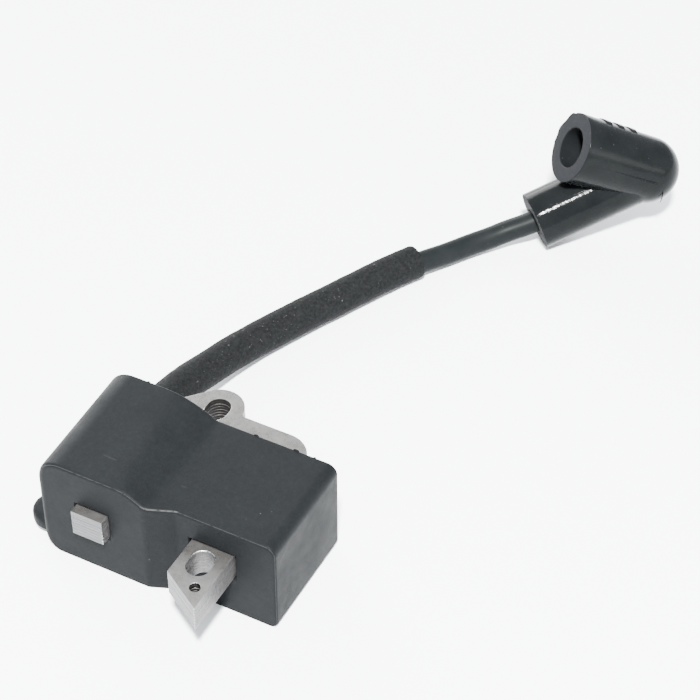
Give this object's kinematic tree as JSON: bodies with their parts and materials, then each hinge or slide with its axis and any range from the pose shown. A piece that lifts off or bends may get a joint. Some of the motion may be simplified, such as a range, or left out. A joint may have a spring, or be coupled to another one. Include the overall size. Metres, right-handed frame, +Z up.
{
  "type": "ignition coil",
  "caption": "Flywheel ignition coil module for a small engine, with a potted housing, laminated two-leg core, sleeved high tension lead and folded spark plug boot.",
  "frame": {"origin": "on the floor under the centre of the module's box (housing, core and terminal, without the lead and boot)", "axes": "+X from the coil leg towards the outer leg, +Y from the pole faces towards the yoke and lead, +Z up, square to the laminations"},
  "size_m": [0.0772, 0.1653, 0.0299],
  "materials": {
    "housing_plastic": "fine-grained moulded",
    "resin": "cast epoxy",
    "core_steel": "ground lamination stack",
    "rivet_steel": "satin",
    "bobbin_nylon": "moulded",
    "copper": "enamelled wire",
    "fine_copper": "enamelled wire",
    "circuit_green": "solder mask",
    "capacitor_red": "dipped film",
    "chip_black": "moulded",
    "resistor_body": "lacquered",
    "brass": "satin",
    "tin": "tinned",
    "grommet_rubber": "matte",
    "cable_jacket": "satin",
    "sleeve_rubber": "matte, fine texture",
    "boot_rubber": "semi-gloss"
  },
  "bodies": {
    "module": {"housing": "housing_plastic", "potting_resin": "resin", "core_laminations": "core_steel", "core_rivets": "rivet_steel", "charge_bobbin": "bobbin_nylon", "charge_winding": "copper", "primary_bobbin": "bobbin_nylon", "primary_winding": "copper", "secondary_bobbin": "bobbin_nylon", "secondary_winding": "fine_copper", "tension_spike": "brass", "circuit_board": "circuit_green", "storage_capacitor": "capacitor_red", "thyristor": "chip_black", "timing_chip": "chip_black", "rectifier_diodes": "chip_black", "resistors": "resistor_body", "jumper_wires": "copper", "ground_contact": "tin", "stop_terminal": "brass", "stop_wire": "copper", "lead_grommet": "grommet_rubber", "lead_jacket": "cable_jacket", "lead_conductor": "copper", "lead_sleeve": "sleeve_rubber"},
    "boot": {"plug_boot": "boot_rubber", "boot_terminal": "brass", "boot_spring": "tin"}
  },
  "joints": [
    {"name": "boot_swivel", "type": "hinge", "parent": "module", "child": "boot", "pos_m": [0.0238, 0.11342, 0.006], "axis": [0.6666, 0.6783, 0.309], "range_deg": [-90, 90]}
  ]
}
